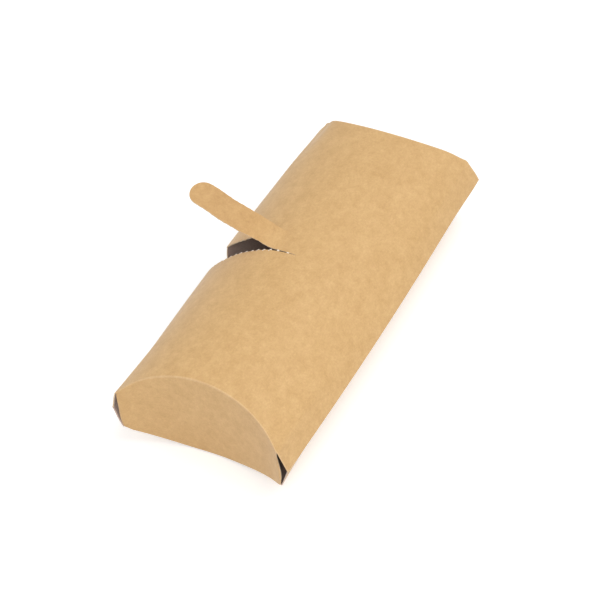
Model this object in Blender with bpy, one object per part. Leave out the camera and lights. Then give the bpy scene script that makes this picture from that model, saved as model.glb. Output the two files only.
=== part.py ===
"""Kraft board tortilla box with a tear strip that has been torn up to the crown and left curled.

The box is one die-cut blank, folded and glued into a pillow box. Two arched panels meet at the two
long side creases. At each end an outer flap folds down from the top panel about a curved crease, and
a shorter inner flap folds up behind it from the bottom panel. A tear strip crosses the top panel from
its rounded tab, just past the left side crease, over the crown and down to the right side crease.

The board bends as an end flap opens and as the strip peels, so each flap is divided along its
rulings into five flat staves, and the torn strip into five segments, that hinge on each other.

X runs along the box towards its rear end, +Y is the side of the tear tab and +Z is up. The origin is
the middle of the base. Every piece that moves has its origin on its hinge.
"""
import math

import bmesh
import bpy
import numpy as np

MM = 0.001

# Outside sizes of the closed box
LENGTH = 200.0 * MM
WIDTH = 90.0 * MM
HEIGHT = 50.8 * MM
BOARD = 0.5 * MM
FOOT_WIDTH = 8.0 * MM

# Clearance between neighbouring pieces of board, and the wider one at the folds
GAP = 0.3 * MM
FOLD_GAP = 0.5 * MM

# End creases: where they start in from the side, how far they bow into the box, and how far the
# panels stand back from them at their ends, where the flaps swing inwards a little as they open
CORNER_CUT = 5.6 * MM
CREASE_BOW = 10.8 * MM
CORNER_STEP = 1.0 * MM
CREASE_RELIEF = 1.4 * MM

# End flaps: borders between staves, as shares of the way to the crease's end, and free edges
STAVE_BORDER_SHARES = (0.25, 0.71)
FLAP_SIDE_GAP = 1.6 * MM
INNER_FLAP_DROP = 1.0 * MM

# Tear strip: its root and the start of its sway are measured along the arch from the crown, the rest
# of its left side and its tab's overhang from the side crease
STRIP_HALF_WIDTH = 6.8 * MM
STRIP_KERF = 0.35 * MM
STRIP_MIDDLE_RIGHT = 2.5 * MM
STRIP_MIDDLE_LEFT = -2.0 * MM
STRIP_SWAY_START = 12.0 * MM
STRIP_SWAY_REST = 12.0 * MM
STRIP_ROOT = 9.7 * MM
STRIP_OVERHANG = 5.4 * MM
STRIP_TIP_RADIUS = 6.4 * MM
TAB_NOTCH_GAP = 1.2 * MM
NOTCH_STEPS = 12
STRIP_FOLD_SHARES = (0.0, 0.18, 0.36, 0.54, 0.73, 1.0)
CURL_DEGREES = (15.0, 40.0, 38.0, 29.0, 19.0)

# Glue flap inside the right side crease
GLUE_FLAP_WIDTH = 14.0 * MM
GLUE_FLAP_END = 14.0 * MM
GLUE_FLAP_TAPER = 8.0 * MM
GLUE_FLAP_START = 1.5 * MM

# Spacing of the facets on the curved pieces
FACET = 3.6 * MM
COLUMN = 24.0 * MM

KRAFT = (0.72, 0.47, 0.23, 1.0)
KRAFT_SHADE = (0.66, 0.43, 0.21, 1.0)

HALF_LENGTH = LENGTH / 2
ARCH_WIDTH = (WIDTH - BOARD) / 2
ARCH_HEIGHT = (HEIGHT - BOARD) / 2
CREASE_START = WIDTH / 2 - CORNER_CUT
STAVE_CENTRE_EDGE, STAVE_OUTER_EDGE = [CREASE_START * share for share in STAVE_BORDER_SHARES]
FLAP_EDGE = CREASE_START - FLAP_SIDE_GAP

# Arc length from the crown, over one side, to the opposite crown
TURN = np.linspace(0.0, math.pi, 4001)
TURN_Y = ARCH_WIDTH * np.sin(TURN)
TURN_Z = ARCH_HEIGHT * np.cos(TURN)
TURN_LENGTH = np.concatenate([[0.0], np.cumsum(np.hypot(np.diff(TURN_Y), np.diff(TURN_Z)))])
HALF_ARC = TURN_LENGTH[-1] / 2
STRIP_SWAY_END = HALF_ARC - STRIP_SWAY_REST
STRIP_TIP = HALF_ARC + STRIP_OVERHANG


def arch(y):
    """Height of the top panel's middle surface over the side creases."""
    return ARCH_HEIGHT * math.sqrt(max(0.0, 1.0 - (y / ARCH_WIDTH) ** 2))


def arc_at(y):
    """Arc length from the crown to the place that lies y to the side."""
    return float(np.interp(math.asin(min(1.0, y / ARCH_WIDTH)), TURN, TURN_LENGTH))


def shell(s, depth=0.0):
    """Y and height of the oval tube at arc length s, depth inside its middle surface."""
    turn = float(np.interp(abs(s), TURN_LENGTH, TURN))
    y = ARCH_WIDTH * math.sin(turn)
    z = ARCH_HEIGHT * math.cos(turn)
    slope_y = y / ARCH_WIDTH ** 2
    slope_z = z / ARCH_HEIGHT ** 2
    size = math.hypot(slope_y, slope_z)
    y -= depth * slope_y / size
    z -= depth * slope_z / size
    return math.copysign(y, s), z


CENTRE_HEIGHT = shell(FOOT_WIDTH / 2, -BOARD / 2)[1]


def skin_height(y, depth):
    """Height over the side creases of the arch's skin, depth inside its middle surface, at y."""
    places = [shell(s, depth) for s in np.linspace(0.0, HALF_ARC, 200)]
    return float(np.interp(abs(y), [p[0] for p in places], [p[1] for p in places]))


def crease_inset(y):
    """How far the end crease lies inside the end of the side creases."""
    if abs(y) >= CREASE_START:
        return 0.0
    rise = arch(y) - arch(CREASE_START)
    return CREASE_BOW * rise / (ARCH_HEIGHT - arch(CREASE_START))


def strip_middle(s):
    """X of the tear strip's middle line at arc length s. It sways forward on the left side."""
    share = min(1.0, max(0.0, (s - STRIP_SWAY_START) / (STRIP_SWAY_END - STRIP_SWAY_START)))
    smooth = share * share * (3.0 - 2.0 * share)
    return STRIP_MIDDLE_RIGHT + (STRIP_MIDDLE_LEFT - STRIP_MIDDLE_RIGHT) * smooth


def board_material(name, colour):
    material = bpy.data.materials.new(name)
    material.use_nodes = True
    shader = material.node_tree.nodes["Principled BSDF"]
    shader.inputs["Base Color"].default_value = colour
    shader.inputs["Roughness"].default_value = 0.85
    shader.inputs["Metallic"].default_value = 0.0
    return material


def board_object(name, outer, inner, origin=(0.0, 0.0, 0.0), colour=KRAFT):
    """A closed piece of board between two grids of points, with its origin on its hinge."""
    rows = len(outer)
    columns = len(outer[0])
    mesh = bmesh.new()
    skins = []
    for grid in (outer, inner):
        skins.append([[mesh.verts.new(np.subtract(p, origin)) for p in row] for row in grid])
    for i in range(rows - 1):
        for j in range(columns - 1):
            for skin in skins:
                mesh.faces.new((skin[i][j], skin[i + 1][j], skin[i + 1][j + 1], skin[i][j + 1]))
    border = [(i, 0) for i in range(rows)]
    border += [(rows - 1, j) for j in range(1, columns)]
    border += [(i, columns - 1) for i in range(rows - 2, -1, -1)]
    border += [(0, j) for j in range(columns - 2, 0, -1)]
    for here, there in zip(border, border[1:] + border[:1]):
        corners = (skins[0][here[0]][here[1]], skins[0][there[0]][there[1]],
                   skins[1][there[0]][there[1]], skins[1][here[0]][here[1]])
        mesh.faces.new(corners)
    bmesh.ops.recalc_face_normals(mesh, faces=mesh.faces)
    data = bpy.data.meshes.new(name)
    mesh.to_mesh(data)
    mesh.free()
    data.materials.append(board_material(name, colour))
    item = bpy.data.objects.new(name, data)
    item.location = origin
    bpy.context.scene.collection.objects.link(item)
    return item


def stations(start, end, extra=()):
    """Arc lengths from start to end, a facet or less apart, with the given places among them."""
    marks = sorted({round(m, 9) for m in (start, end, *extra) if start <= m <= end})
    places = [marks[0]]
    for low, high in zip(marks, marks[1:]):
        count = max(1, math.ceil((high - low) / FACET - 0.01))
        places += [low + (high - low) * k / count for k in range(1, count + 1)]
    return places


def curved_sheet(name, places, near, far, side=1.0, depth=0.0, colour=KRAFT):
    """A curved piece of board. near and far give its X limits at each arc length."""
    outer = []
    inner = []
    count = max(1, math.ceil(max(far(s) - near(s) for s in places) / COLUMN))
    for s in places:
        xs = [near(s) + (far(s) - near(s)) * k / count for k in range(count + 1)]
        for grid, offset in ((outer, depth - BOARD / 2), (inner, depth + BOARD / 2)):
            y, z = shell(s, offset)
            grid.append([(x, y, CENTRE_HEIGHT + side * z) for x in xs])
    return board_object(name, outer, inner, colour=colour)


def panel_end(s, step=0.0):
    """X distance from the middle to the end of a panel at arc length s. step moves its crease in."""
    y = shell(min(abs(s), HALF_ARC))[0]
    if y > CREASE_START + CORNER_STEP / 2:
        return HALF_LENGTH
    way = max(0.0, y - STAVE_CENTRE_EDGE) / (CREASE_START - STAVE_CENTRE_EDGE)
    return HALF_LENGTH - crease_inset(y) - step - CREASE_RELIEF * way


def panel_marks():
    """Arc lengths where a panel's outline turns."""
    turns = (FOOT_WIDTH / 2, arc_at(CREASE_START), arc_at(CREASE_START + CORNER_STEP))
    return [side * turn for turn in turns for side in (-1.0, 1.0)]


def build_top_panel():
    """The two halves of the top panel and the part of the tear strip that is still in place."""
    edge = HALF_ARC - GAP / 2
    foot = FOOT_WIDTH / 2
    places = stations(-edge, edge, panel_marks())
    curved_sheet("top_panel_front", places, lambda s: -panel_end(s),
                 lambda s: strip_middle(s) - STRIP_HALF_WIDTH - STRIP_KERF / 2)
    curved_sheet("top_panel_rear", places,
                 lambda s: strip_middle(s) + STRIP_HALF_WIDTH + STRIP_KERF / 2,
                 lambda s: panel_end(s))
    bridge = stations(-edge, STRIP_ROOT - FOLD_GAP / 2, (-foot, foot))
    curved_sheet("tear_strip_attached", bridge,
                 lambda s: strip_middle(s) - STRIP_HALF_WIDTH + STRIP_KERF / 2,
                 lambda s: strip_middle(s) + STRIP_HALF_WIDTH - STRIP_KERF / 2)


def build_bottom_panel():
    """The bottom panel, with the round notch for the tear tab in its left edge."""
    edge = HALF_ARC - GAP / 2
    places = stations(-edge, edge, panel_marks())
    panel = curved_sheet("bottom_panel", places, lambda s: -panel_end(s, BOARD + GAP),
                         lambda s: panel_end(s, BOARD + GAP), side=-1.0, colour=KRAFT_SHADE)
    radius = STRIP_HALF_WIDTH + STRIP_KERF / 2
    lowest = shell(STRIP_TIP + TAB_NOTCH_GAP)[1]
    outline = [(radius, CORNER_CUT), (-radius, CORNER_CUT)]
    for k in range(NOTCH_STEPS + 1):
        turn = math.pi * k / NOTCH_STEPS
        outline.append((-radius * math.cos(turn), (lowest + radius) - radius * math.sin(turn)))
    outline = [(x, min(z, CORNER_CUT)) for x, z in outline]
    cutter_mesh = bmesh.new()
    reach = WIDTH / 2 - CORNER_CUT, WIDTH / 2 + CORNER_CUT
    rings = [[cutter_mesh.verts.new((STRIP_MIDDLE_LEFT + x, y, CENTRE_HEIGHT + z)) for x, z in outline]
             for y in reach]
    cutter_mesh.faces.new(rings[0])
    cutter_mesh.faces.new(rings[1])
    for k in range(len(outline)):
        follow = (k + 1) % len(outline)
        cutter_mesh.faces.new((rings[0][k], rings[0][follow], rings[1][follow], rings[1][k]))
    bmesh.ops.recalc_face_normals(cutter_mesh, faces=cutter_mesh.faces)
    data = bpy.data.meshes.new("tab_notch_cutter")
    cutter_mesh.to_mesh(data)
    cutter_mesh.free()
    cutter = bpy.data.objects.new("tab_notch_cutter", data)
    cutter.hide_render = True
    cutter.display_type = "WIRE"
    bpy.context.scene.collection.objects.link(cutter)
    cut = panel.modifiers.new("tab_notch", "BOOLEAN")
    cut.operation = "DIFFERENCE"
    cut.solver = "EXACT"
    cut.object = cutter


def build_glue_flap():
    """The flap that joins the panels, glued inside the bottom panel along the right side crease."""
    start = HALF_ARC - GLUE_FLAP_START
    end = HALF_ARC - GLUE_FLAP_START - GLUE_FLAP_WIDTH

    def half_length(s):
        share = (start - abs(s)) / (start - end)
        return HALF_LENGTH - GLUE_FLAP_END - GLUE_FLAP_TAPER * share

    curved_sheet("glue_flap", stations(-start, -end), lambda s: -half_length(s), half_length,
                 side=-1.0, depth=BOARD + GAP, colour=KRAFT_SHADE)


def stave_borders():
    """The staves of one flap from the middle to its side edge, as name endings and borders in Y."""
    inner = STAVE_CENTRE_EDGE
    middle = STAVE_OUTER_EDGE
    outer = FLAP_EDGE
    return [("centre", -inner, inner),
            ("left_middle", inner, middle), ("left_edge", middle, outer),
            ("right_middle", -inner, -middle), ("right_edge", -middle, -outer)]


def stave_lean(low, high):
    """Angle in plan between the box's width and the stave that spans low to high."""
    return math.atan2(crease_inset(low) - crease_inset(high), high - low)


def fold_place(y, face):
    """Inward place and Y of the fold at y, in the middle of board that lies face inside the crease."""
    if abs(y) == STAVE_CENTRE_EDGE:
        leans = (0.0, stave_lean(STAVE_CENTRE_EDGE, STAVE_OUTER_EDGE))
    else:
        leans = (stave_lean(STAVE_CENTRE_EDGE, STAVE_OUTER_EDGE),
                 stave_lean(STAVE_OUTER_EDGE, FLAP_EDGE))
    lean = (leans[0] + leans[1]) / 2
    offset = (face + BOARD / 2) / math.cos((leans[1] - leans[0]) / 2)
    inward = crease_inset(y) + offset * math.cos(lean)
    return inward, math.copysign(abs(y) + offset * math.sin(lean), y)


def build_flap(end, prefix, face, low, high, hinge_height):
    """One end flap as five flat staves. low and high give its edges' heights at each Y."""
    for ending, start, stop in stave_borders():
        first = np.array((crease_inset(start), start))
        last = np.array((crease_inset(stop), stop))
        length = np.linalg.norm(last - first)
        along = (last - first) / length
        across = np.array((abs(along[1]), -along[0] * math.copysign(1.0, along[1])))
        trim = GAP / 2
        steps = np.linspace(trim, length - trim, 5)
        if ending.endswith("edge"):
            steps = np.linspace(trim, length, 5)
        outer = []
        inner = []
        for step in steps:
            place = first + along * step
            for grid, offset in ((outer, face), (inner, face + BOARD)):
                inward, y = place + across * offset
                x = end * (HALF_LENGTH - inward)
                heights = np.linspace(low(y), high(y), 3)
                grid.append([(x, y, CENTRE_HEIGHT + z) for z in heights])
        if ending == "centre":
            inset = crease_inset(STAVE_CENTRE_EDGE) + face
            origin = (end * (HALF_LENGTH - inset), 0.0, CENTRE_HEIGHT + hinge_height)
        else:
            inward, y = fold_place(start, face)
            origin = (end * (HALF_LENGTH - inward), y, CENTRE_HEIGHT)
        board_object(prefix + "_" + ending, outer, inner, origin)


def build_end_flaps():
    under = BOARD / 2 + GAP
    reach = BOARD / 2
    hinge = skin_height(STAVE_CENTRE_EDGE, -reach)
    for end, word in ((-1.0, "front"), (1.0, "rear")):
        build_flap(end, word + "_outer_flap", 0.0,
                   lambda y: -skin_height(y, 0.0), lambda y: skin_height(y, under), hinge)
        build_flap(end, word + "_inner_flap", BOARD + GAP,
                   lambda y: -skin_height(y, under), lambda y: -INNER_FLAP_DROP, -hinge)


def strip_folds():
    """Arc lengths of the torn strip's folds, and their places when it lies in its slot."""
    length = STRIP_TIP - STRIP_ROOT
    arcs = [STRIP_ROOT + length * share for share in STRIP_FOLD_SHARES]
    return arcs, [np.array(shell(s)) for s in arcs]


def strip_half_width(s):
    """Half the strip's width, with its rounded tip."""
    half = STRIP_HALF_WIDTH - STRIP_KERF / 2
    past = s - (STRIP_TIP - STRIP_TIP_RADIUS)
    if past <= 0.0:
        return half
    share = min(1.0, past / STRIP_TIP_RADIUS)
    return half * math.sqrt(max(0.0, 1.0 - share * share))


def build_torn_strip():
    """The torn length of the strip, curled up from its root near the crown."""
    arcs, flat = strip_folds()
    joint = flat[0]
    for k, degrees in enumerate(CURL_DEGREES):
        length = np.linalg.norm(flat[k + 1] - flat[k])
        angle = math.radians(degrees)
        along = np.array((math.cos(angle), math.sin(angle)))
        across = np.array((-math.sin(angle), math.cos(angle)))
        last = k == len(CURL_DEGREES) - 1
        shares = list(np.linspace(0.0, 1.0, 4))
        if last:
            round_share = STRIP_TIP_RADIUS / (arcs[-1] - arcs[-2])
            shares = [0.0, (1.0 - round_share) / 2]
            shares += [1.0 - round_share * (1.0 - math.sin(math.radians(turn)))
                       for turn in (0.0, 20.0, 40.0, 55.0, 68.0, 80.0)]
        outer = []
        inner = []
        for share in shares:
            s = arcs[k] + (arcs[k + 1] - arcs[k]) * share
            reach = length * share
            if share == 0.0:
                reach = FOLD_GAP / 2
            if share == 1.0:
                reach = length - FOLD_GAP / 2
            half = strip_half_width(s)
            xs = [strip_middle(s) + half * side for side in (-1.0, 0.0, 1.0)]
            for grid, lift in ((outer, BOARD / 2), (inner, -BOARD / 2)):
                y, z = joint + along * reach + across * lift
                grid.append([(x, y, CENTRE_HEIGHT + z) for x in xs])
        origin = (strip_middle(arcs[k]), joint[0], CENTRE_HEIGHT + joint[1])
        board_object("tear_strip_torn_%d" % (k + 1), outer, inner, origin)
        joint = joint + along * length


def main():
    for item in list(bpy.data.objects):
        bpy.data.objects.remove(item, do_unlink=True)
    build_top_panel()
    build_bottom_panel()
    build_glue_flap()
    build_end_flaps()
    build_torn_strip()


main()
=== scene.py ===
"""Kraft board tortilla box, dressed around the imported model: smooth board, dark inside, torn strip."""
import math

import bpy
import numpy as np
from mathutils import Matrix, Vector


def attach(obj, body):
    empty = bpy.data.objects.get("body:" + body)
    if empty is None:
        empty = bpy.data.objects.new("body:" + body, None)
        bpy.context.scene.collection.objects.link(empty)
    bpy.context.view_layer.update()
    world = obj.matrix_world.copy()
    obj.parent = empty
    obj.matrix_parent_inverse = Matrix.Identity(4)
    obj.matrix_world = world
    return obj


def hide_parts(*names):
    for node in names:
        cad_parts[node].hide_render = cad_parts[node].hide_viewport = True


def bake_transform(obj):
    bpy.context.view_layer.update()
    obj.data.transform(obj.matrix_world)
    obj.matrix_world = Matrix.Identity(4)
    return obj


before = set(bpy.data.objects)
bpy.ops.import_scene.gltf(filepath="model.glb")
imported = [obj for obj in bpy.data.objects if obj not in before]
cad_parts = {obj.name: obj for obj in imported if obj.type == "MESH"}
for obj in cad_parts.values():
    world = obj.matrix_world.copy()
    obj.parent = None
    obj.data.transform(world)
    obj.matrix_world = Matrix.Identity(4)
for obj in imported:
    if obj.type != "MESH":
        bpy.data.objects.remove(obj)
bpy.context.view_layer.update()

MM = 0.001

# The part's own sizes
LENGTH = 200.0 * MM
WIDTH = 90.0 * MM
HEIGHT = 50.8 * MM
BOARD = 0.5 * MM
FOOT_WIDTH = 8.0 * MM
GAP = 0.3 * MM
CORNER_CUT = 5.6 * MM
STAVE_BORDER_SHARES = (0.25, 0.71)
STRIP_HALF_WIDTH = 6.8 * MM
STRIP_MIDDLE_RIGHT = 2.5 * MM
STRIP_MIDDLE_LEFT = -2.0 * MM
STRIP_SWAY_START = 12.0 * MM
STRIP_SWAY_REST = 12.0 * MM
STRIP_ROOT = 9.7 * MM
STRIP_OVERHANG = 5.4 * MM

HALF_LENGTH = LENGTH / 2
ARCH_WIDTH = (WIDTH - BOARD) / 2
ARCH_HEIGHT = (HEIGHT - BOARD) / 2
CREASE_START = WIDTH / 2 - CORNER_CUT
TURN = np.linspace(0.0, math.pi, 4001)
TURN_Y = ARCH_WIDTH * np.sin(TURN)
TURN_Z = ARCH_HEIGHT * np.cos(TURN)
TURN_LENGTH = np.concatenate([[0.0], np.cumsum(np.hypot(np.diff(TURN_Y), np.diff(TURN_Z)))])
HALF_ARC = TURN_LENGTH[-1] / 2
STRIP_SWAY_END = HALF_ARC - STRIP_SWAY_REST
STRIP_TIP = HALF_ARC + STRIP_OVERHANG
CENTRE_HEIGHT = math.sqrt(1.0 - (FOOT_WIDTH / 2 / ARCH_WIDTH) ** 2) * ARCH_HEIGHT + BOARD / 2

# How the real tube differs from the even oval. Its side creases swell out in the middle of its length,
# and at the ends its panels turn down steeply before they reach the side creases.
SIDE_SWELL = 2.0 * MM
MIDDLE_HEIGHT = 24.45 * MM
CORNER_ANGLE = math.radians(70.0)
CORNER_BEND_Y = 36.5 * MM
CORNER_BEND_HEIGHT = 10.6 * MM
CORNER_PULL = 0.66
CREASE_END_Y = 40.0 * MM
CREASE_DEPTH = 11.2 * MM

# Shares of the arc from the crown to the side crease and a little past it, and the points of each curve
SHARES = np.linspace(0.0, 1.04, 833)
SHARE_STEP = 0.001
ARC_POINTS = 600
OVAL_POINTS = 400
BEND_POINTS = 80
SIDE_POINTS = 60
END_SLOPE_POINTS = 4

# Where the two skins of the board draw together to end on the side crease's own level
EDGE_SLOPE_SHARE = 0.995
EDGE_START_SHARE = 0.96
EDGE_LEEWAY = 0.01 * MM


def evenly(y, z):
    """The same curve at equal steps of its length, and a little straight on past its end."""
    length = np.concatenate([[0.0], np.cumsum(np.hypot(np.diff(y), np.diff(z)))])
    share = length / length[-1]
    past = np.maximum(SHARES - 1.0, 0.0) * length[-1]
    angle = math.atan2(z[-1] - z[-END_SLOPE_POINTS], y[-1] - y[-END_SLOPE_POINTS])
    return (np.interp(SHARES, share, y) + past * math.cos(angle),
            np.interp(SHARES, share, z) + past * math.sin(angle))


def middle_profile():
    """Half the cross-section in the middle of the length: a circle's arc from the crown to the crease."""
    half = ARCH_WIDTH + SIDE_SWELL
    radius = (half ** 2 + MIDDLE_HEIGHT ** 2) / (2.0 * MIDDLE_HEIGHT)
    turn = np.linspace(0.0, math.asin(half / radius), ARC_POINTS)
    return evenly(radius * np.sin(turn), radius * np.cos(turn) - (radius - MIDDLE_HEIGHT))


def end_profile():
    """Half the cross-section at the ends: an oval, then a bend and a straight side down to the crease."""
    turn = np.linspace(0.0, math.asin(CORNER_BEND_Y / ARCH_WIDTH), OVAL_POINTS)
    y = ARCH_WIDTH * np.sin(turn)
    z = ARCH_HEIGHT * np.cos(turn)
    start = np.array([y[-1], z[-1]])
    slope = math.atan2(ARCH_HEIGHT * math.sin(turn[-1]), ARCH_WIDTH * math.cos(turn[-1]))
    stop = np.array([ARCH_WIDTH - CORNER_BEND_HEIGHT / math.tan(CORNER_ANGLE), CORNER_BEND_HEIGHT])
    leave = np.array([math.cos(slope), -math.sin(slope)])
    arrive = np.array([-math.cos(CORNER_ANGLE), math.sin(CORNER_ANGLE)])
    reach = np.linalg.solve(np.array([leave, -arrive]).T, stop - start)
    corner = start + leave * reach[0]
    t = np.linspace(0.0, 1.0, BEND_POINTS)[1:, None]
    one = start + (corner - start) * CORNER_PULL
    two = stop + (corner - stop) * CORNER_PULL
    bend = (1 - t) ** 3 * start + 3 * (1 - t) ** 2 * t * one + 3 * (1 - t) * t * t * two + t ** 3 * stop
    side = stop + (np.array([ARCH_WIDTH, 0.0]) - stop) * np.linspace(0.0, 1.0, SIDE_POINTS)[1:, None]
    return evenly(np.concatenate([y, bend[:, 0], side[:, 0]]),
                  np.concatenate([z, bend[:, 1], side[:, 1]]))


MIDDLE_Y, MIDDLE_Z = middle_profile()
END_Y, END_Z = end_profile()
CREASE_END_SHARE = float(np.interp(CREASE_END_Y, END_Y, SHARES))
CREASE_END_ARC = CREASE_END_SHARE * HALF_ARC
CREASE_END_HEIGHT = float(np.interp(CREASE_END_SHARE, SHARES, END_Z))


def middle_surface(share, x):
    """Y and height of the board's middle at a share of the arc and length x."""
    ends = (np.asarray(x) / HALF_LENGTH) ** 2
    y = (1.0 - ends) * np.interp(share, SHARES, MIDDLE_Y) + ends * np.interp(share, SHARES, END_Y)
    z = (1.0 - ends) * np.interp(share, SHARES, MIDDLE_Z) + ends * np.interp(share, SHARES, END_Z)
    return y, z


def tube(s, x, depth=0.0, edge_cut=False):
    """Y and height of the tube at arc length s and length x, depth inside the board's middle. With
    edge_cut, both skins end on the side creases' own level."""
    s = np.asarray(s, dtype=float)
    share = np.abs(s) / HALF_ARC
    if edge_cut:
        y_one, z_one = middle_surface(EDGE_SLOPE_SHARE, x)
        y_two, z_two = middle_surface(1.0, x)
        reach = (-depth - EDGE_LEEWAY) * (y_two - y_one) / (z_one - z_two) / HALF_ARC
        share = share + reach * np.clip((share - EDGE_START_SHARE) / (1.0 - EDGE_START_SHARE), 0.0, 1.0)
    y, z = middle_surface(share, x)
    y_one, z_one = middle_surface(np.maximum(share - SHARE_STEP, 0.0), x)
    y_two, z_two = middle_surface(share + SHARE_STEP, x)
    size = np.hypot(y_two - y_one, z_two - z_one)
    return np.copysign(y + depth * (z_two - z_one) / size, s), z - depth * (y_two - y_one) / size


def panel_end(s):
    """X where the end crease crosses the tube at arc length s."""
    share = np.abs(np.asarray(s, dtype=float)) / HALF_ARC
    height = np.interp(share, SHARES, END_Z)
    inset = CREASE_DEPTH * (height - CREASE_END_HEIGHT) / (ARCH_HEIGHT - CREASE_END_HEIGHT)
    return HALF_LENGTH - np.where(share >= CREASE_END_SHARE, 0.0, inset)


# The end crease seen from the end: its inset and the panel's outer height over y
CREASE_S = np.linspace(0.0, CREASE_END_SHARE, OVAL_POINTS) * HALF_ARC
CREASE_Y, CREASE_Z = tube(CREASE_S, panel_end(CREASE_S), -BOARD / 2)
CREASE_IN = HALF_LENGTH - panel_end(CREASE_S)


def crease_inset(y):
    """How far the end crease lies in from the box's end, at y."""
    return np.interp(np.abs(y), CREASE_Y, CREASE_IN, right=0.0)


def crease_height(y):
    """Height of the panel's outer skin where it meets the flap, and down its corner past the crease."""
    y = np.abs(y)
    past = np.maximum(y - CREASE_Y[-1], 0.0)
    return np.interp(y, CREASE_Y, CREASE_Z) - past * math.tan(CORNER_ANGLE)


def strip_middle(s):
    """X of the strip's middle line at arc length s."""
    share = np.clip((np.asarray(s) - STRIP_SWAY_START) / (STRIP_SWAY_END - STRIP_SWAY_START), 0.0, 1.0)
    smooth = share * share * (3.0 - 2.0 * share)
    return STRIP_MIDDLE_RIGHT + (STRIP_MIDDLE_LEFT - STRIP_MIDDLE_RIGHT) * smooth


def wobble(t, seed, waves, size):
    """A smooth irregular curve over t, the same each run: a sum of waves, each at least half strong."""
    rng = np.random.default_rng(seed)
    total = np.zeros_like(t)
    for wave in waves:
        total += rng.uniform(0.5, 1.0) * np.sin(2.0 * math.pi * (t / wave + rng.uniform()))
    return size * total / len(waves)


# Board: materials

# What all of the board's materials share. A noise has a scale in cells per metre, a detail and a
# roughness, and its values lie mostly between the two given here.
SPECULAR = 0.65
SHEEN = 0.12
SHEEN_ROUGHNESS = 0.5
CLOUD_NOISE = (260.0, 4.0, 0.7)
BLOTCH_NOISE = (110.0, 1.0, 0.5)
BLOTCH_SHARE = 0.4
HAIR_NOISE = (420.0, 2.0, 0.5)
GRAIN_NOISE = (1100.0, 3.0, 0.75)
GRAIN_FACTOR = 0.26
GRAIN_HEIGHT = 0.04 * MM
NOISE_LOW = 0.3
NOISE_HIGH = 0.7

# Three layers of fibres: their turn in degrees, how many times longer than wide they are, the noise
# level above which they show, whether they are pale, and their share of the strength
HAIRS = ((25.0, 9.0, 0.62, False, 1.0),
         (-50.0, 8.0, 0.63, True, 1.0),
         (80.0, 10.0, 0.64, False, 0.8))
HAIR_SOFTNESS = 0.06
HAIR_TILT_SHARES = (0.5, 0.3, 1.0)


def node_group(owner):
    """The nodes and links of a material or the world, and a function that makes a node with values."""
    nodes = owner.node_tree.nodes
    links = owner.node_tree.links

    def make(kind, **values):
        item = nodes.new(kind)
        for key, value in values.items():
            if key in item.inputs:
                item.inputs[key].default_value = value
            else:
                setattr(item, key, value)
        return item

    return nodes, links, make


def board_material(name, light, dark, contrast, fibre, roughness, bump, painted_shade=None):
    """Fibrous board: blotches, cloudy tone, short fibres in three directions and a fine grain. The last
    argument, when given, is a painted shade: two places along Y, between which it fades in, and the tint
    that the tone is multiplied by in the end."""
    material = bpy.data.materials.new(name)
    material.use_nodes = True
    nodes, links, make = node_group(material)
    shader = nodes["Principled BSDF"]
    shader.inputs["Roughness"].default_value = roughness
    shader.inputs["Specular IOR Level"].default_value = SPECULAR
    shader.inputs["Sheen Weight"].default_value = SHEEN
    shader.inputs["Sheen Roughness"].default_value = SHEEN_ROUGHNESS
    place = make("ShaderNodeTexCoord").outputs["Object"]

    def noise(where, scale, detail, rough):
        item = make("ShaderNodeTexNoise", Scale=scale, Detail=detail, Roughness=rough)
        links.new(where, item.inputs["Vector"])
        return item.outputs["Fac"]

    def ramp(value, start, stop, low, high):
        item = make("ShaderNodeMapRange",
                    **{"From Min": start, "From Max": stop, "To Min": low, "To Max": high})
        links.new(value, item.inputs["Value"])
        return item.outputs["Result"]

    def added(one, two):
        item = make("ShaderNodeMath", operation="ADD")
        links.new(one, item.inputs[0])
        links.new(two, item.inputs[1])
        return item.outputs["Value"]

    def mixed(factor, one, two, **how):
        """The mix of one and two, each a colour or a socket."""
        item = make("ShaderNodeMix", data_type="RGBA", **how)
        for key, value in (("Factor", factor), ("A", one), ("B", two)):
            if isinstance(value, bpy.types.NodeSocket):
                links.new(value, item.inputs[key])
            else:
                item.inputs[key].default_value = value
        return item.outputs["Result"]

    clouds = ramp(noise(place, *CLOUD_NOISE), NOISE_LOW, NOISE_HIGH, 0.5 - contrast, 0.5 + contrast)
    blotch = BLOTCH_SHARE * contrast
    blotches = ramp(noise(place, *BLOTCH_NOISE), NOISE_LOW, NOISE_HIGH, -blotch, blotch)
    tone = mixed(added(clouds, blotches), dark, light)
    masks = []
    for turn, stretch, level, pale, share in HAIRS:
        mapping = make("ShaderNodeMapping", Scale=(1.0, stretch, stretch),
                       Rotation=[math.radians(turn * tilt) for tilt in HAIR_TILT_SHARES])
        links.new(place, mapping.inputs["Vector"])
        hair = noise(mapping.outputs["Vector"], *HAIR_NOISE)
        masks.append(ramp(hair, level - HAIR_SOFTNESS, level + HAIR_SOFTNESS, 0.0, fibre * share))
        tone = mixed(masks[-1], tone, light if pale else dark)
    grain = noise(place, *GRAIN_NOISE)
    tone = mixed(GRAIN_FACTOR, tone, grain, blend_type="OVERLAY")
    # Painted shade: the tone is multiplied towards a darker tint along Y.
    if painted_shade is not None:
        start, stop, tint = painted_shade
        split = make("ShaderNodeSeparateXYZ")
        links.new(place, split.inputs["Vector"])
        tone = mixed(ramp(split.outputs["Y"], start, stop, 0.0, 1.0), tone, tint, blend_type="MULTIPLY")
    links.new(tone, shader.inputs["Base Color"])

    relief = make("ShaderNodeBump", Strength=bump, Distance=GRAIN_HEIGHT)
    links.new(added(grain, masks[0]), relief.inputs["Height"])
    links.new(relief.outputs["Normal"], shader.inputs["Normal"])
    return material


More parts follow.
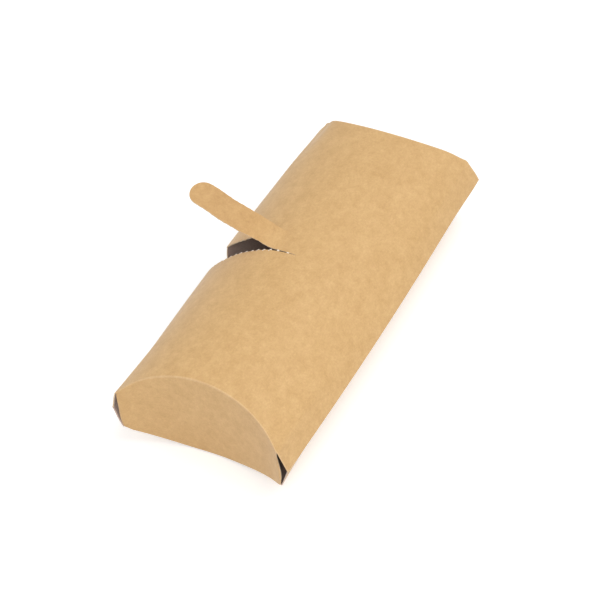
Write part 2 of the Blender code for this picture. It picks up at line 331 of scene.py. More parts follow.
# Each material's light and dark tone, and its contrast, fibre, roughness and bump
KRAFT = ((0.722, 0.458, 0.195, 1.0), (0.570, 0.332, 0.120, 1.0), 0.32, 0.24, 0.6, 0.25)
GREY_BROWN = ((0.68, 0.51, 0.425, 1.0), (0.56, 0.41, 0.34, 1.0), 0.25, 0.25, 0.78, 0.25)
CUT_BOARD = ((0.880, 0.700, 0.480, 1.0), (0.700, 0.510, 0.320, 1.0), 0.3, 0.3, 0.9, 0.5)
# The crease's tone is paler, partly for the fold's cracked fibres and partly as a painted highlight of
# the light on the fold.
BENT_BOARD_AND_HIGHLIGHT = ((0.780, 0.530, 0.275, 1.0), (0.630, 0.395, 0.180, 1.0), 0.25, 0.22, 0.85, 0.35)
PALE_FIBRE = ((0.940, 0.870, 0.780, 1.0), (0.840, 0.730, 0.610, 1.0), 0.3, 0.3, 0.9, 0.5)
# A painted shade on the torn strip: its tone darkens along Y from 14 mm to 30 mm, where the real board is
# only darker for how the light falls on it.
STRIP_PAINTED_SHADE = (14.0 * MM, 30.0 * MM, (0.91, 0.87, 0.82, 1.0))

OUTSIDE = board_material("kraft_outside", *KRAFT)
STRIP_OUTSIDE_PAINTED_SHADE = board_material("strip_outside_painted_shade", *KRAFT, STRIP_PAINTED_SHADE)
OTHER_MATERIALS = (board_material("dark_inside", *GREY_BROWN), board_material("cut_edge", *CUT_BOARD),
                   board_material("crease_ridge_and_highlight", *BENT_BOARD_AND_HIGHLIGHT), board_material("torn_fibre", *PALE_FIBRE))
OUTSIDE_SLOT, INSIDE_SLOT, CUT_SLOT, CREASE_SLOT, TORN_SLOT = range(1 + len(OTHER_MATERIALS))


# Board: geometry

# How a grid's rows are spaced: digits to which places are rounded, and the share a step may be too long
MARK_DIGITS = 9
STEP_LEEWAY = 0.01

# Bends of the corners off the even tube: where, as X, Y and height over the side creases, how far they
# shift Y and the height there, and how wide they are
CORNER_BENDS = np.array(((100.0, 40.0, 12.0, -2.7, -1.9, 8.5),
                         (100.0, -40.0, 12.0, 1.0, -1.5, 7.0),
                         (100.0, -44.8, 0.0, -1.1, -0.4, 7.0),
                         (-100.0, 44.8, 0.0, -0.8, 0.0, 6.0))) * MM
BEND_REACH = 22.0 * MM


def settle(points):
    """The points of a piece, moved along with the bends of the corners."""
    out = points.copy()
    height = points[:, 2] - CENTRE_HEIGHT
    for x, y, z, shift_y, shift_z, spread in CORNER_BENDS:
        across = (points[:, 1] - y) ** 2 + (height - z) ** 2
        near = np.exp(-((points[:, 0] - x) / BEND_REACH) ** 2 - across / spread ** 2)
        out[:, 1] += shift_y * near
        out[:, 2] += shift_z * near
    return out


def nowhere(i, j):
    """No cell at all."""
    return False


def sheet_mesh(name, outer, inner, skip=nowhere, ridge=(), pale=nowhere, dim=nowhere, outside=OUTSIDE):
    """A closed sheet between two grids of points. skip(i, j) leaves a cell out. The cut edges have their
    own material, the ridge columns of cells the crease's, which is paler board with a painted highlight,
    the cells of pale(i, j) torn fibre and those of dim(i, j) the inside's."""
    rows, columns = outer.shape[:2]
    count = rows * columns
    points = settle(np.concatenate([outer.reshape(-1, 3), inner.reshape(-1, 3)]))
    kept = np.array([[not skip(i, j) for j in range(columns - 1)] for i in range(rows - 1)])
    faces = []
    slots = []
    edge_points = []

    def at(i, j, skin):
        return skin * count + i * columns + j

    for i in range(rows - 1):
        for j in range(columns - 1):
            if not kept[i, j]:
                continue
            faces.append((at(i, j, 0), at(i + 1, j, 0), at(i + 1, j + 1, 0), at(i, j + 1, 0)))
            if dim(i, j):
                slots.append(INSIDE_SLOT)
            elif pale(i, j):
                slots.append(TORN_SLOT)
            else:
                slots.append(CREASE_SLOT if j in ridge else OUTSIDE_SLOT)
            faces.append((at(i, j + 1, 1), at(i + 1, j + 1, 1), at(i + 1, j, 1), at(i, j, 1)))
            slots.append(INSIDE_SLOT)
            for di, dj, a, b in ((-1, 0, (i, j + 1), (i, j)), (1, 0, (i + 1, j), (i + 1, j + 1)),
                                 (0, -1, (i, j), (i + 1, j)), (0, 1, (i + 1, j + 1), (i, j + 1))):
                ni, nj = i + di, j + dj
                if 0 <= ni < rows - 1 and 0 <= nj < columns - 1 and kept[ni, nj]:
                    continue
                first = 2 * count + len(edge_points)
                edge_points += [points[k] for k in (at(*a, 0), at(*a, 1), at(*b, 1), at(*b, 0))]
                faces.append((first, first + 1, first + 2, first + 3))
                slots.append(INSIDE_SLOT if dim(i, j) else CUT_SLOT)
    points = np.concatenate([points, np.array(edge_points)])
    corners = points[np.array(faces)]
    volume = np.einsum("ij,ij->i", corners[:, 0], np.cross(corners[:, 1], corners[:, 2])).sum()
    volume += np.einsum("ij,ij->i", corners[:, 0], np.cross(corners[:, 2], corners[:, 3])).sum()
    if volume < 0:
        faces = [face[::-1] for face in faces]
    used = np.unique(np.array(faces))
    number = np.zeros(len(points), int)
    number[used] = np.arange(len(used))
    mesh = bpy.data.meshes.new(name)
    mesh.from_pydata(points[used].tolist(), [], number[np.array(faces)].tolist())
    for material in (outside, *OTHER_MATERIALS):
        mesh.materials.append(material)
    mesh.polygons.foreach_set("material_index", slots)
    mesh.polygons.foreach_set("use_smooth", [True] * len(slots))
    mesh.update()
    item = bpy.data.objects.new(name, mesh)
    bpy.context.scene.collection.objects.link(item)
    return item


def marks(start, stop, step, extra=()):
    """Numbers from start to stop at most step apart, with the given ones among them."""
    stops = sorted({round(float(m), MARK_DIGITS) for m in (start, stop, *extra) if start <= m <= stop})
    out = [stops[0]]
    for low, high in zip(stops, stops[1:]):
        count = max(1, int(math.ceil((high - low) / step - STEP_LEEWAY)))
        out += [low + (high - low) * k / count for k in range(1, count + 1)]
    return np.array(out)


# The creases: radius of the turn, width of the bent band beside it, and cells along the turn
CREASE_ROUND = 0.4 * MM
CREASE_BAND = 0.3 * MM
CREASE_STEPS = 4
TURN_STEPS = [0.5 * math.pi * k / CREASE_STEPS for k in range(1, CREASE_STEPS + 1)]
UNDER_STEP = (BOARD - CREASE_ROUND) * 0.2
ROW_STEP = 1.3 * MM
FINE_ROW_STEP = 0.3 * MM

# The strip's cut lines: their width, the slits of the near line that stand open beyond the root, as arc
# lengths, their width at the root, and how far from it they narrow on the whole side and the torn side
CUT_WIDTH = 0.12 * MM
OPEN_SLITS = ((4.4 * MM, 8.7 * MM), (-0.5 * MM, 3.2 * MM))
OPEN_WIDTH = 1.0 * MM
OPEN_REACH = 12.0 * MM
TORN_REACH = 5.0 * MM
OPEN_NEAR_SHARE = 0.3

# The slot's two torn edges: arc lengths and x there
NEAR_PLACES = np.array((10.0, 14.7, 19.1, 23.9, 30.4, 36.8, 41.0, 50.0, 56.0)) * MM
NEAR_EDGE = np.array((-4.1, -4.4, -5.1, -5.8, -6.8, -8.0, -8.75, -8.85, -8.6)) * MM
FAR_PLACES = np.array((10.0, 14.0, 20.0, 27.0, 33.0, 39.0, 44.5, 50.0, 54.0, 56.0)) * MM
FAR_EDGE = np.array((9.2, 9.2, 8.1, 6.0, 4.6, 4.5, 5.1, 6.3, 7.8, 8.6)) * MM
EDGE_FADE = 10.0 * MM

# The waviness of the torn edges of slot and strip: seed, wave lengths and size
NEAR_WAVES = (3, (9.0 * MM, 4.1 * MM), 0.12 * MM)
FAR_WAVES = (4, (8.0 * MM, 3.7 * MM), 0.10 * MM)
STRIP_NEAR_WAVES = (11, (7.0 * MM, 3.3 * MM), 0.06 * MM)
STRIP_FAR_WAVES = (12, (8.0 * MM, 3.9 * MM), 0.06 * MM)

# The torn bridges of the perforation, called nibs: seed, place of the first one and share of the height
NEAR_NIBS = (7, STRIP_ROOT + 3.4 * MM, 1.0)
FAR_NIBS = (8, STRIP_ROOT + 5.2 * MM, 0.5)
STRIP_NEAR_NIBS = (9, STRIP_ROOT + 1.2 * MM, 0.15)
STRIP_FAR_NIBS = (10, STRIP_ROOT + 2.6 * MM, 0.15)
NIB_STEP = 3.35 * MM
NIB_HEIGHT = 0.8 * MM
NIB_HEIGHT_SHARES = (0.7, 1.2)
NIB_WIDTHS = (0.5 * MM, 0.62 * MM)
NIB_LEAN = 0.2 * MM
PALE_NIB = 0.15 * MM
PALE_WIDTH = 0.7 * MM
PANEL_CELLS = 40
BRIDGE_CELLS = 6

# The floor of the box is a little flatter at its front end than the oval: up in the middle and right,
# down at the left
FLOOR_PLACES = np.array((-41.0, -38.0, -31.0, -24.0, -18.0, -12.0, -6.0, 0.0, 5.0, 9.0, 14.0, 19.0,
                         27.0, 38.0, 41.0)) * MM
FLOOR_RISES = np.array((-0.7, -0.4, 0.45, 0.8, 0.85, 0.95, 1.0, 0.8, 0.45, 0.1, -0.3, -0.5,
                        -0.75, -0.9, -0.9)) * MM
FLOOR_REACH = 45.0 * MM
FLOOR_FADE = 9.0 * MM

# The notch in the bottom panel's left edge: how far its edge lies below the crease at each x
NOTCH_PLACES = np.array((-9.0, -8.0, -6.4, -4.4, -1.8, 1.0, 3.0, 4.3, 5.6, 6.8, 8.0, 9.1)) * MM
NOTCH_DEPTHS = np.array((0.0, 1.3, 3.2, 4.9, 5.9, 5.7, 4.8, 3.9, 2.6, 1.55, 0.65, 0.0)) * MM
NOTCH_REACH = 22.0 * MM
NOTCH_STEP = 2.0 * MM
NOTCH_PULL_SHARE = 0.3
WING_CELLS = 30
CORNER_BAND = 0.6 * MM
CORNER_LEEWAY = 0.05 * MM

# The glue flap: its distance from the side crease, its width, how far it ends short of the box's end, how
# much more at its free edge, and the film of glue over it
GLUE_START = 1.5 * MM
GLUE_WIDTH = 14.0 * MM
GLUE_END = 14.0 * MM
GLUE_TAPER = 8.0 * MM
GLUE_FILM = 0.05 * MM
GLUE_ROWS = 12
GLUE_COLUMNS = 60


def nib_profile(s, seed, first, tall_share):
    """How far the nibs of a perforated line stand out of it at arc lengths s."""
    rng = np.random.default_rng(seed)
    out = np.zeros_like(s)
    place = first
    while place < STRIP_TIP:
        width = rng.uniform(*NIB_WIDTHS)
        tall = NIB_HEIGHT * tall_share * rng.uniform(*NIB_HEIGHT_SHARES)
        lean = NIB_LEAN * rng.uniform(-1.0, 1.0)
        out = np.maximum(out, tall * np.exp(-((s - place - lean) / width) ** 4))
        place += NIB_STEP
    return out


def front_lift(x, y):
    """How far the floor of the box rises off the oval, towards its front end."""
    fade = np.clip(1.0 - (x + HALF_LENGTH) / FLOOR_REACH, 0.0, 1.0)
    return np.interp(y, FLOOR_PLACES, FLOOR_RISES) * fade * fade


def tube_row(s, xs, depth, side, edge_cut=True):
    """Points along the tube at arc length s, on its top or, with side -1, on its bottom."""
    y, z = tube(np.full(len(xs), s), xs, depth, edge_cut)
    z = side * z
    if side < 0:
        z = z + front_lift(xs, y) * min(1.0, (HALF_ARC - abs(s)) / FLOOR_FADE)
    return np.stack([xs, y, CENTRE_HEIGHT + z], 1)


def ended_row(s, xs_flat, x_end, side):
    """One row of a panel: the flat part, and a quarter turn into the flaps at both ends."""
    x_turn = [x_end - CREASE_ROUND * (1.0 - math.sin(t)) for t in TURN_STEPS]
    drops = [CREASE_ROUND * (1.0 - math.cos(t)) for t in TURN_STEPS]
    xs = np.array([-x for x in x_turn[::-1]] + list(xs_flat) + x_turn)
    outer = tube_row(s, xs, -BOARD / 2, side)
    outer[:, 2] -= side * np.array(drops[::-1] + [0.0] * len(xs_flat) + drops)
    under = x_end - CREASE_ROUND + UNDER_STEP * np.arange(1, CREASE_STEPS + 1)
    xs_in = np.concatenate([-under[::-1], xs_flat, under])
    return outer, tube_row(s, xs_in, BOARD / 2, side)


def end_cells(columns, width):
    """The first and the last width cells, out of columns points in a row."""
    return set(range(width)) | {columns - 2 - k for k in range(width)}


def build_top():
    """The top panel in one sheet: its slot is open from the root to the left side crease, and beyond the
    root the strip's near line is still a row of slits."""
    slit_ends = [place for slit in OPEN_SLITS for place in slit]
    rows = np.concatenate([
        marks(-HALF_ARC, STRIP_ROOT, ROW_STEP, [*slit_ends, CREASE_END_ARC, -CREASE_END_ARC]),
        marks(STRIP_ROOT, HALF_ARC, FINE_ROW_STEP, (CREASE_END_ARC,))[1:]])
    torn = rows > STRIP_ROOT
    opened = np.clip((rows - STRIP_ROOT) / EDGE_FADE, 0.0, 1.0)
    near_nibs = torn * nib_profile(rows, *NEAR_NIBS)
    near = np.interp(rows, NEAR_PLACES, NEAR_EDGE) + wobble(rows, *NEAR_WAVES) * opened + near_nibs
    far = np.interp(rows, FAR_PLACES, FAR_EDGE) + wobble(rows, *FAR_WAVES) * opened
    far = far - torn * opened * nib_profile(rows, *FAR_NIBS)
    even = np.linspace(0.0, 1.0, PANEL_CELLS + 1)
    outer = []
    inner = []
    for s, a, b in zip(rows, near, far):
        x_end = float(panel_end(s))
        flat = x_end - CREASE_ROUND
        reach = OPEN_REACH if s < STRIP_ROOT else TORN_REACH
        wide = CUT_WIDTH + (OPEN_WIDTH - CUT_WIDTH) * max(0.0, 1.0 - abs(s - STRIP_ROOT) / reach)
        start = a - OPEN_NEAR_SHARE * wide
        stop = b + CUT_WIDTH / 2
        left = -flat + CREASE_BAND
        right = flat - CREASE_BAND
        xs = [-flat, *(left + (start - PALE_WIDTH - left) * even), start]
        xs += list(np.linspace(start + wide, b - CUT_WIDTH / 2, BRIDGE_CELLS + 1))
        xs += [stop, *(stop + PALE_WIDTH + (right - stop - PALE_WIDTH) * even), flat]
        out_row, in_row = ended_row(s, np.array(xs), x_end, 1.0)
        outer.append(out_row)
        inner.append(in_row)
    near_cell = CREASE_STEPS + PANEL_CELLS + 2
    far_cell = near_cell + BRIDGE_CELLS + 1
    middle = (rows[:-1] + rows[1:]) / 2
    in_slit = np.zeros(len(middle), bool)
    for low, high in OPEN_SLITS:
        in_slit |= (middle > low) & (middle < high)

    def skip(i, j):
        if middle[i] > STRIP_ROOT:
            return near_cell <= j <= far_cell
        return j == near_cell and in_slit[i]

    def pale(i, j):
        if middle[i] > STRIP_ROOT:
            return j == near_cell - 1 and near_nibs[i] > PALE_NIB
        return j == near_cell and OPEN_SLITS[-1][1] < middle[i] and not in_slit[i]

    item = sheet_mesh("top_panel", np.array(outer), np.array(inner), skip,
                      end_cells(len(outer[0]), CREASE_STEPS + 1), pale)
    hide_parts("top_panel_front", "top_panel_rear", "tear_strip_attached")
    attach(item, "box")


def build_bottom():
    """The bottom panel. Its ends lie behind the outer flaps, except at the four corners."""
    core = marks(-NOTCH_REACH, NOTCH_REACH, NOTCH_STEP,
                 (*NOTCH_PLACES, *((NOTCH_PLACES[:-1] + NOTCH_PLACES[1:]) / 2)))
    wing = np.linspace(0.0, 1.0, WING_CELLS + 1)
    corner = CREASE_END_ARC + CORNER_BAND
    rows = marks(-HALF_ARC, HALF_ARC, ROW_STEP, (-CREASE_END_ARC, CREASE_END_ARC, corner, -corner))
    notch_start = (1.0 - NOTCH_PULL_SHARE) * HALF_ARC
    outer = []
    inner = []
    for s in rows:
        x_end = float(panel_end(s))
        if abs(s) <= CREASE_END_ARC + CORNER_LEEWAY:
            x_end -= BOARD + GAP
        flat = x_end - CREASE_ROUND
        side = (flat - NOTCH_REACH) * wing
        xs = np.concatenate([(-flat + side)[:-1], core, (NOTCH_REACH + side)[1:]])
        out_row, in_row = ended_row(s, xs, x_end, -1.0)
        if s > notch_start:
            pull = min(1.0, (s - notch_start) / (HALF_ARC - notch_start))
            for k, x in enumerate(core):
                notch = np.interp(x, NOTCH_PLACES, NOTCH_DEPTHS)
                for grid, depth in ((out_row, -BOARD / 2), (in_row, BOARD / 2)):
                    y, z = tube(s - notch * pull, x, depth, notch == 0)
                    grid[CREASE_STEPS + WING_CELLS + k] = (x, y, CENTRE_HEIGHT - z)
        outer.append(out_row)
        inner.append(in_row)
    ridge = end_cells(len(outer[0]), CREASE_STEPS)
    beyond = np.abs((rows[:-1] + rows[1:]) / 2) > CREASE_END_ARC
    item = sheet_mesh("bottom_board", np.array(outer), np.array(inner), ridge=ridge,
                      dim=lambda i, j: beyond[i] and j in ridge)
    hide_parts("bottom_panel")
    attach(item, "box")


def build_glue_flap():
    """The flap along the right side crease, glued to the inside of the bottom panel."""
    outer = []
    inner = []
    for share in np.linspace(0.0, 1.0, GLUE_ROWS):
        s = HALF_ARC - GLUE_START - GLUE_WIDTH * share
        half = HALF_LENGTH - GLUE_END - GLUE_TAPER * share
        xs = np.linspace(-half, half, GLUE_COLUMNS)
        outer.append(tube_row(-s, xs, BOARD / 2 + GLUE_FILM, -1.0, False))
        inner.append(tube_row(-s, xs, BOARD * 1.5 + GLUE_FILM, -1.0, False))
    item = sheet_mesh("glue_flap_board", np.array(outer), np.array(inner))
    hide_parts("glue_flap")
    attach(item, "box")


STAVE_CENTRE_EDGE, STAVE_OUTER_EDGE = [CREASE_START * share for share in STAVE_BORDER_SHARES]
BEND_MIDDLE = (STAVE_CENTRE_EDGE + STAVE_OUTER_EDGE) / 2
FLAP_HEIGHT_SHARES = (*np.linspace(0.0, 1.0, 29), 1.0)
INNER_BEND_SHARES = marks(0.0, 1.0, 0.06, (0.006, 0.994))
OUTER_BEND_SHARES = marks(0.0, 1.0, 0.04, (0.006, 0.96, 0.98))
SLOPE_REACH = 0.2 * MM

# The outer flap's side edge, as heights and how far out it stands there, where the rounding of its lower
# corner starts, its gap over the bottom panel and how far its inside ends below its crease
SIDE_HEIGHTS = np.array((-12.9, -12.6, -11.6, -9.5, -6.0, -2.0, 2.0, 6.0, 9.5, 11.9)) * MM
SIDE_PLACES = np.array((39.0, 39.5, 40.0, 40.5, 41.1, 41.3, 41.0, 40.6, 40.2, 39.95)) * MM
SIDE_SHARES = (SIDE_HEIGHTS - SIDE_HEIGHTS[0]) / (SIDE_HEIGHTS[-1] - SIDE_HEIGHTS[0])
CORNER_ROUND_START = 37.4 * MM
OUTER_FLOOR_GAP = 0.12 * MM
OUTER_INSIDE_DROP = 0.25 * MM + BOARD / 2

# The inner flap's side edge, the rounding of its upper corner and the height of its free edge
INNER_SIDE = 38.6 * MM
INNER_ROUNDING = 3.0 * MM
INNER_ROUND_SHARE = 0.3
INNER_TOP = -1.0 * MM


def flap_side(kind, share):
    """How far out the side edge of a flap stands at a share of its height."""
    if kind == "outer":
        return float(np.interp(share, SIDE_SHARES, SIDE_PLACES))
    return INNER_SIDE - INNER_ROUNDING * max(0.0, 1.0 - (1.0 - share) / INNER_ROUND_SHARE) ** 2


def flap_frame(y):
    """Inward place of the crease at y, and the plan normal there (inward, y)."""
    step = crease_inset(y + SLOPE_REACH) - crease_inset(max(y - SLOPE_REACH, 0.0))
    slope = step / (min(y, SLOPE_REACH) + SLOPE_REACH)
    size = math.sqrt(1.0 + slope ** 2)
    return float(crease_inset(y)), 1.0 / size, -slope / size


def flap_points(end, side, kind, y, share, last):
    """A flap's outer and inner point at y and a share of its height. The last row is the crease's own."""
    inset, n_in, n_y = flap_frame(y)
    top = float(crease_height(min(y, CREASE_END_Y)))
    lift = float(front_lift(end * HALF_LENGTH, side * y))
    if kind == "outer":
        face = 0.0
        bottom = -top + OUTER_FLOOR_GAP + lift
        way = (y - CORNER_ROUND_START) / (SIDE_PLACES[0] - CORNER_ROUND_START)
        bottom += (SIDE_HEIGHTS[0] - bottom) * min(1.0, max(0.0, way)) ** 2
        upper = top - CREASE_ROUND
        upper_in = top - OUTER_INSIDE_DROP
    else:
        face = BOARD + GAP
        bottom = -(top - CREASE_ROUND) + lift
        upper = INNER_TOP
        upper_in = INNER_TOP
    if not last:
        share *= 1.0 - CREASE_BAND / (upper - bottom)
    points = []
    for depth, ceiling in ((face, upper), (face + BOARD, upper_in)):
        x = end * (HALF_LENGTH - (inset + n_in * depth))
        z = bottom + (ceiling - bottom) * share
        points.append((x, side * (y + n_y * depth), CENTRE_HEIGHT + z))
    return points


def build_flap(end, word, kind):
    """One end flap as a curved sheet, in four lengths that share their borders."""
    prefix = "%s_%s_flap" % (word, kind)
    ridge = (len(FLAP_HEIGHT_SHARES) - 2,) if kind == "outer" else ()
    for side, hand in ((1.0, "left"), (-1.0, "right")):
        centre = prefix + "_centre"
        middle = "%s_%s_middle" % (prefix, hand)
        edge = "%s_%s_edge" % (prefix, hand)
        for part, across, nodes, reach in (
                ("inner_bend", INNER_BEND_SHARES, (centre, middle), (0.0, BEND_MIDDLE)),
                ("outer_bend", OUTER_BEND_SHARES, (middle, edge),
                 (BEND_MIDDLE, 2 * STAVE_OUTER_EDGE - BEND_MIDDLE))):
            rows = []
            for share in across:
                row = []
                for k, height in enumerate(FLAP_HEIGHT_SHARES):
                    y = share * BEND_MIDDLE
                    if part == "outer_bend":
                        y = BEND_MIDDLE + share * (flap_side(kind, height) - BEND_MIDDLE)
                    row.append(flap_points(end, side, kind, y, height, k == len(FLAP_HEIGHT_SHARES) - 1))
                rows.append(row)
            grids = np.array(rows)
            item = sheet_mesh("%s_%s_%s" % (prefix, hand, part), grids[:, :, 0], grids[:, :, 1],
                              ridge=ridge)
            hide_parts(*nodes)
            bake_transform(item)


# The curl of the torn strip: tangent angles at arc lengths, and how far it sways off its middle line
CURL_PLACES = np.array((9.7, 14.7, 19.7, 24.8, 29.8, 34.8, 39.9, 44.9, 49.9, 55.0, 61.4)) * MM
CURL_TURNS = np.radians((-9.7, 16.9, 36.4, 41.7, 40.8, 36.8, 30.2, 26.5, 23.0, 18.0, 14.0))
CURL_SIDE_PLACES = np.array((9.7, 20.0, 30.0, 40.0, 50.0, 60.0)) * MM
CURL_SIDE_SHIFTS = np.array((0.0, 0.4, -0.25, -0.7, -0.4, -0.5)) * MM
CURL_END = 59.8 * MM
CURL_POINTS = 1200

# The outline of the torn strip
TORN_HALF_WIDTH = 7.15 * MM
TORN_WIDENING = 15.0 * MM
TORN_FADE = 8.0 * MM
TIP_RADIUS = 6.6 * MM
TIP_POWER = 2.2
TIP_POINTS = 19
TIP_HALF_WIDTH = 0.3 * MM
ROOT_NARROWING = 0.9 * MM
ROOT_NARROW_END = 30.0 * MM
ROOT_NARROW_FADE = 10.0 * MM
STRIP_COLUMNS = 9
STRIP_FOLD_SHARES = (0.0, 0.18, 0.36, 0.54, 0.73, 1.0)
BORDER_ROW = 0.05 * MM


def smooth_table(x, places, values):
    """A smooth curve through a table: Hermite pieces with averaged slopes."""
    slopes = np.gradient(values, places)
    k = np.clip(np.searchsorted(places, x) - 1, 0, len(places) - 2)
    width = places[k + 1] - places[k]
    t = (x - places[k]) / width
    a = (1 + 2 * t) * (1 - t) ** 2 * values[k] + t * (1 - t) ** 2 * width * slopes[k]
    return a + t * t * (3 - 2 * t) * values[k + 1] + t * t * (t - 1) * width * slopes[k + 1]


def curl(s):
    """Y, height and tangent angle of the curled strip's middle surface at arc lengths s."""
    fine = np.linspace(STRIP_ROOT, CURL_END, CURL_POINTS)
    turns = smooth_table(fine, CURL_PLACES, CURL_TURNS)
    y0, z0 = tube(STRIP_ROOT, 0.0)
    steps = np.diff(fine)
    middle = (turns[:-1] + turns[1:]) / 2
    y = y0 + np.concatenate([[0.0], np.cumsum(np.cos(middle) * steps)])
    z = z0 + np.concatenate([[0.0], np.cumsum(np.sin(middle) * steps)])
    return np.interp(s, fine, y), np.interp(s, fine, z), np.interp(s, fine, turns)


def strip_edges(rows):
    """X of the torn strip's near and far edge at arc lengths rows."""
    from_root = rows - STRIP_ROOT
    past = np.clip((rows - (CURL_END - TIP_RADIUS)) / TIP_RADIUS, 0.0, 1.0)
    opened = np.clip(from_root / TORN_FADE, 0.0, 1.0) * (past <= 0)
    widening = np.clip(from_root / TORN_WIDENING, 0.0, 1.0)
    wide = STRIP_HALF_WIDTH + (TORN_HALF_WIDTH - STRIP_HALF_WIDTH) * widening
    half = (wide - CUT_WIDTH / 2) * np.sqrt(np.maximum(0.0, 1.0 - past ** TIP_POWER))
    half = np.maximum(half, TIP_HALF_WIDTH)
    middle = strip_middle(rows) + np.interp(rows, CURL_SIDE_PLACES, CURL_SIDE_SHIFTS)
    narrowing = ROOT_NARROWING * np.clip((ROOT_NARROW_END - rows) / ROOT_NARROW_FADE, 0.0, 1.0)
    near_tear = wobble(rows, *STRIP_NEAR_WAVES) - nib_profile(rows, *STRIP_NEAR_NIBS)
    far_tear = wobble(rows, *STRIP_FAR_WAVES) + nib_profile(rows, *STRIP_FAR_NIBS)
    return middle - half + narrowing + opened * near_tear, middle + half + opened * far_tear


def build_strip():
    """The torn strip in five lengths, each of which bends across one fold."""
    folds = [STRIP_ROOT + (STRIP_TIP - STRIP_ROOT) * share for share in STRIP_FOLD_SHARES]
    middles = [(a + b) / 2 for a, b in zip(folds, folds[1:])]
    spans = [(STRIP_ROOT, middles[0]), *zip(middles, middles[1:4]), (middles[3], CURL_END)]
    bodies = ["box"] + ["tear_strip_torn_%d" % k for k in range(1, 6)]
    tip = [CURL_END - TIP_RADIUS * (1.0 - math.sin(t))
           for t in np.linspace(0.0, 0.5 * math.pi, TIP_POINTS)]
    for k, (low, high) in enumerate(spans):
        extra = [place for place in (*tip, low + BORDER_ROW, high - BORDER_ROW) if low < place < high]
        rows = marks(low, high, FINE_ROW_STEP, extra)
        grids = []
        for lift in (BOARD / 2, -BOARD / 2):
            grids.append([])
            for y, z, turn, near, far in zip(*curl(rows), *strip_edges(rows)):
                y -= math.sin(turn) * lift
                z += CENTRE_HEIGHT + math.cos(turn) * lift
                grids[-1].append([(x, y, z) for x in np.linspace(near, far, STRIP_COLUMNS)])
        item = sheet_mesh("tear_strip_length_%d" % (k + 1), *np.array(grids), outside=STRIP_OUTSIDE_PAINTED_SHADE)
        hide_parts(bodies[k + 1])
        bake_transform(item)


build_top()
build_bottom()
build_glue_flap()
for end, word in ((-1.0, "front"), (1.0, "rear")):
    for kind in ("outer", "inner"):
        build_flap(end, word, kind)
build_strip()


# Floor, lights and camera

FLOOR_REACH_METRES = 3.0
FLOOR_TONE = 0.88
FLOOR_GLOW = 0.35
WORLD_LIGHT = 0.62
WHITE = (1.0, 1.0, 1.0, 1.0)

# The point that both lights face, and each one's name, place, size and power
LIGHT_TARGET = (0.0, 0.0, 0.03)
LIGHTS = (("key", (0.15, -0.5, 1.3), 1.0, 6.0),
          ("fill", (-0.8, -0.5, 0.95), 0.5, 4.0))

# The camera was solved from the outline, the creases and the strip of the photograph
CAMERA_TURN = (2.04855, -1.28106, 0.40564)
CAMERA_SHIFT = (4.3126 * MM, -6.45618 * MM, 764.57535 * MM)
CAMERA_FOCAL_PIXELS = 1621.915
IMAGE_HEIGHT_PIXELS = 600
SENSOR_HEIGHT = 24.0
CLIP_START = 0.01
CLIP_END = 20.0


def seen_directly(links, make):
    """A value that is 1 for camera, mirror and transmission rays, and 0 for the rest."""
    path = make("ShaderNodeLightPath")
    seen = path.outputs["Is Camera Ray"]
    for kind in ("Is Glossy Ray", "Is Transmission Ray"):
        both = make("ShaderNodeMath", operation="ADD")
        links.new(seen, both.inputs[0])
        links.new(path.outputs[kind], both.inputs[1])
        seen = both.outputs["Value"]
    return seen


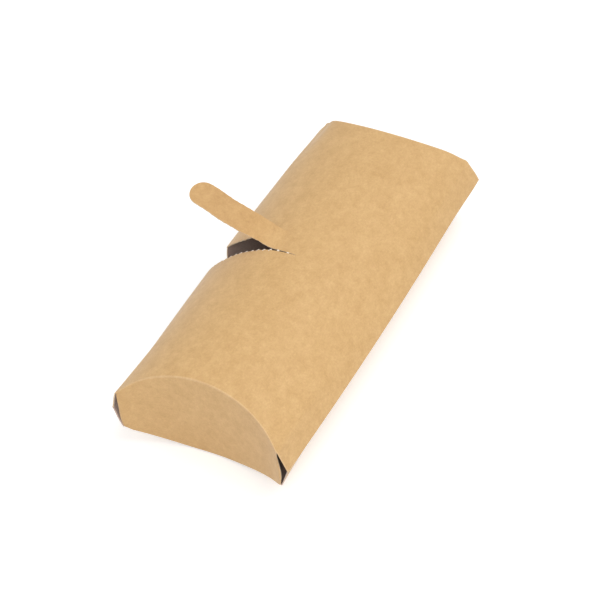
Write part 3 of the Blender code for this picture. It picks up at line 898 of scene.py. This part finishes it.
def build_floor():
    """A white floor with a glow that only the camera sees, so that it looks white but keeps shadows."""
    reach = FLOOR_REACH_METRES
    mesh = bpy.data.meshes.new("floor")
    mesh.from_pydata([(-reach, -reach, 0), (reach, -reach, 0), (reach, reach, 0), (-reach, reach, 0)], [],
                     [(0, 1, 2, 3)])
    floor = bpy.data.objects.new("floor", mesh)
    bpy.context.scene.collection.objects.link(floor)
    material = bpy.data.materials.new("floor_white")
    material.use_nodes = True
    nodes, links, make = node_group(material)
    shader = nodes["Principled BSDF"]
    shader.inputs["Base Color"].default_value = (FLOOR_TONE, FLOOR_TONE, FLOOR_TONE, 1.0)
    shader.inputs["Roughness"].default_value = 1.0
    shader.inputs["Specular IOR Level"].default_value = 0.0
    unlit = make("ShaderNodeEmission", Strength=0.0)
    glow = make("ShaderNodeEmission", Strength=FLOOR_GLOW)
    pick = make("ShaderNodeMixShader")
    total = make("ShaderNodeAddShader")
    links.new(seen_directly(links, make), pick.inputs[0])
    links.new(unlit.outputs["Emission"], pick.inputs[1])
    links.new(glow.outputs["Emission"], pick.inputs[2])
    links.new(shader.outputs["BSDF"], total.inputs[0])
    links.new(pick.outputs["Shader"], total.inputs[1])
    links.new(total.outputs["Shader"], nodes["Material Output"].inputs["Surface"])
    mesh.materials.append(material)


def build_world():
    """A soft light from all sides that the camera sees as plain white."""
    world = bpy.data.worlds.new("studio")
    bpy.context.scene.world = world
    world.use_nodes = True
    nodes, links, make = node_group(world)
    background = nodes["Background"]
    background.inputs["Color"].default_value = WHITE
    background.inputs["Strength"].default_value = WORLD_LIGHT
    shown = make("ShaderNodeBackground", Color=WHITE, Strength=1.0)
    pick = make("ShaderNodeMixShader")
    links.new(seen_directly(links, make), pick.inputs[0])
    links.new(background.outputs["Background"], pick.inputs[1])
    links.new(shown.outputs["Background"], pick.inputs[2])
    links.new(pick.outputs["Shader"], nodes["World Output"].inputs["Surface"])


def build_lights():
    """Two round area lights above and before the box."""
    for name, place, size, power in LIGHTS:
        data = bpy.data.lights.new(name, "AREA")
        data.shape = "DISK"
        data.size = size
        data.energy = power
        item = bpy.data.objects.new(name, data)
        item.location = place
        item.rotation_euler = (Vector(LIGHT_TARGET) - Vector(place)).to_track_quat("-Z", "Y").to_euler()
        bpy.context.scene.collection.objects.link(item)


def build_camera():
    """The photograph's camera. Its turn and shift take a point to axes that go right, down and away."""
    data = bpy.data.cameras.new("camera")
    data.sensor_fit = "VERTICAL"
    data.sensor_height = SENSOR_HEIGHT
    data.lens = CAMERA_FOCAL_PIXELS * SENSOR_HEIGHT / IMAGE_HEIGHT_PIXELS
    data.clip_start = CLIP_START
    data.clip_end = CLIP_END
    camera = bpy.data.objects.new("camera", data)
    turn = Vector(CAMERA_TURN)
    axes = Matrix.Rotation(turn.length, 3, turn.normalized())
    place = -(axes.transposed() @ Vector(CAMERA_SHIFT)) + Vector((0.0, 0.0, CENTRE_HEIGHT))
    facing = Matrix((axes[0], -axes[1], -axes[2])).transposed().to_4x4()
    camera.matrix_world = Matrix.Translation(place) @ facing
    bpy.context.scene.collection.objects.link(camera)
    return camera


build_floor()
build_world()
build_lights()
bpy.context.scene.camera = build_camera()
bpy.context.scene.view_settings.view_transform = "Standard"
